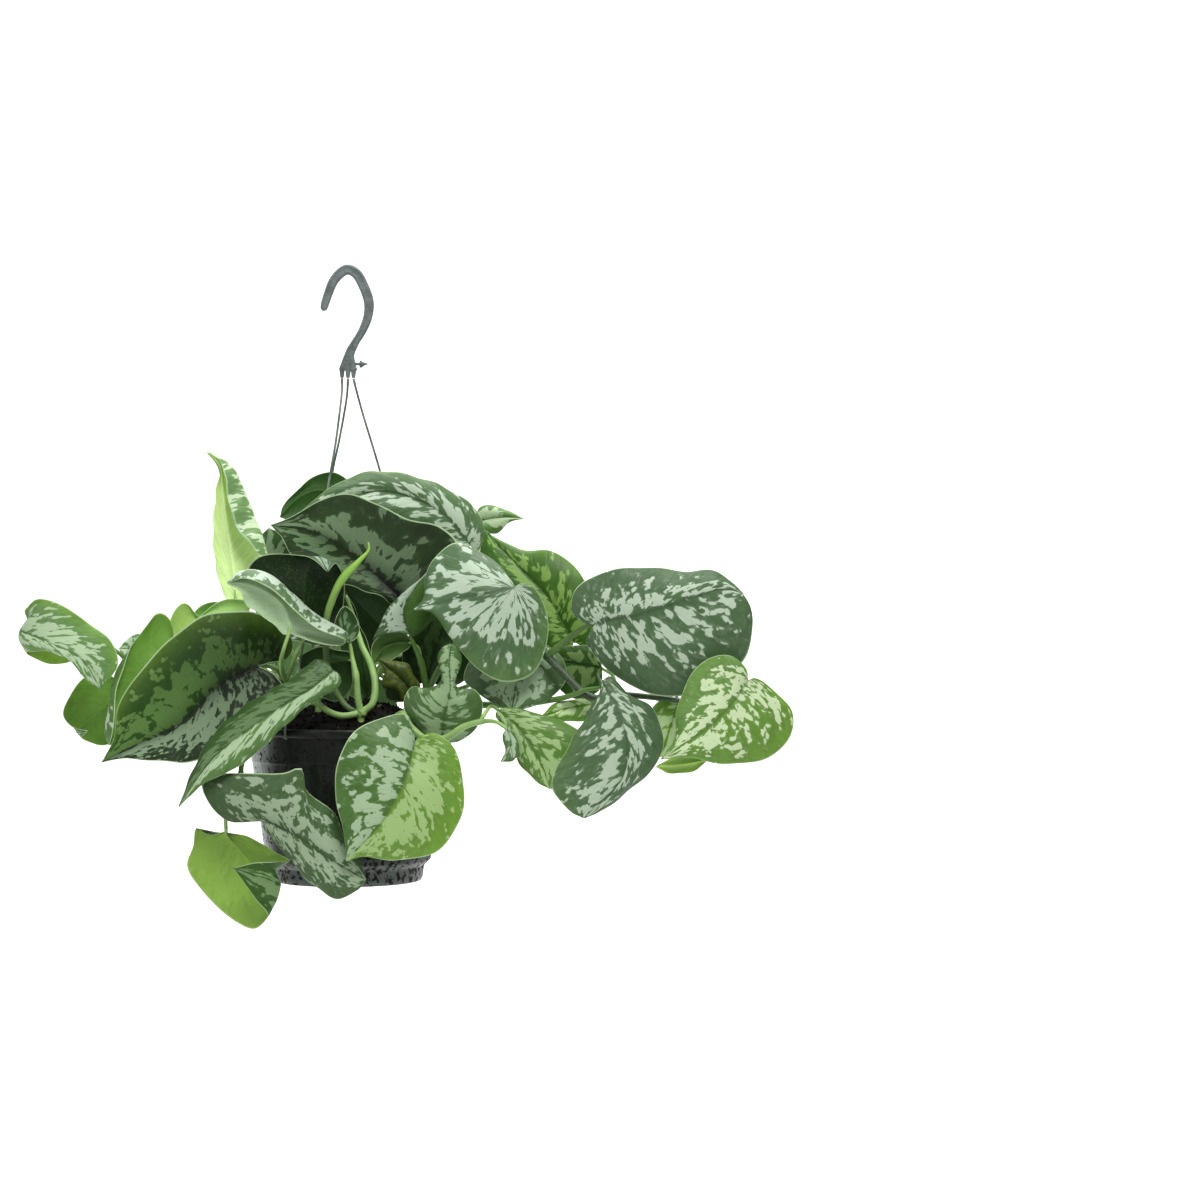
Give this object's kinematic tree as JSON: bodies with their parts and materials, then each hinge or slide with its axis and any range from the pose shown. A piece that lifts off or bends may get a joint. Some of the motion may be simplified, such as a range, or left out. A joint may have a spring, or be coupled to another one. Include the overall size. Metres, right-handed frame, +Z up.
{
  "type": "hanging house plant in a pot",
  "caption": "Trailing silver-splashed satin pothos in a tapered plastic nursery pot that hangs from a moulded hook on thin strands.",
  "frame": {"origin": "inner top of the hook, where it hangs on what holds it; the pot's axis passes through it", "axes": "+Z up along the pot's axis, +X to the right along the long trailing vines, the picture looks along +Y"},
  "size_m": [0.568, 0.2473, 0.4887],
  "materials": {
    "leaf_blade": "satin green with silver splashes",
    "green_stem": "smooth",
    "pot_shell": "dark, dusted with soil",
    "potting_mix": "crumbly",
    "hanger": "moulded grey"
  },
  "bodies": {
    "root": {"hanger_hook": "hanger", "hanger_strand_1": "hanger", "hanger_strand_2": "hanger", "hanger_strand_3": "hanger", "leaf_back_hanging": "leaf_blade", "leaf_back_left": "leaf_blade", "leaf_back_left_up": "leaf_blade", "leaf_back_low_right": "leaf_blade", "leaf_back_right": "leaf_blade", "leaf_back_right_up": "leaf_blade", "leaf_back_top": "leaf_blade", "leaf_centre_grey": "leaf_blade", "leaf_centre_lobe": "leaf_blade", "leaf_centre_silver": "leaf_blade", "leaf_centre_under": "leaf_blade", "leaf_crown": "leaf_blade", "leaf_drape": "leaf_blade", "leaf_far_left": "leaf_blade", "leaf_far_right": "leaf_blade", "leaf_front": "leaf_blade", "leaf_hanging_right": "leaf_blade", "leaf_inner_dark": "leaf_blade", "leaf_inner_hanging": "leaf_blade", "leaf_inner_left": "leaf_blade", "leaf_inner_right": "leaf_blade", "leaf_left_behind": "leaf_blade", "leaf_left_big": "leaf_blade", "leaf_left_edge": "leaf_blade", "leaf_left_lobe": "leaf_blade", "leaf_left_long": "leaf_blade", "leaf_left_pale": "leaf_blade", "leaf_left_silver": "leaf_blade", "leaf_lime_behind": "leaf_blade", "leaf_lime_between": "leaf_blade", "leaf_lime_flap": "leaf_blade", "leaf_lime_left": "leaf_blade", "leaf_lime_low": "leaf_blade", "leaf_lime_right": "leaf_blade", "leaf_low_left": "leaf_blade", "leaf_lowest": "leaf_blade", "leaf_old": "leaf_blade", "leaf_right_back": "leaf_blade", "leaf_right_big": "leaf_blade", "leaf_right_tip": "leaf_blade", "leaf_small_cup": "leaf_blade", "leaf_small_tip": "leaf_blade", "leaf_swirl": "leaf_blade", "leaf_top": "leaf_blade", "leaf_top_left": "leaf_blade", "leaf_under_right": "leaf_blade", "leaf_upright": "leaf_blade", "pot": "pot_shell", "soil": "potting_mix", "vine_back": "green_stem", "vine_crown": "green_stem", "vine_front": "green_stem", "vine_left": "green_stem", "vine_low": "green_stem", "vine_right": "green_stem", "vine_trailing": "green_stem"}
  },
  "joints": []
}
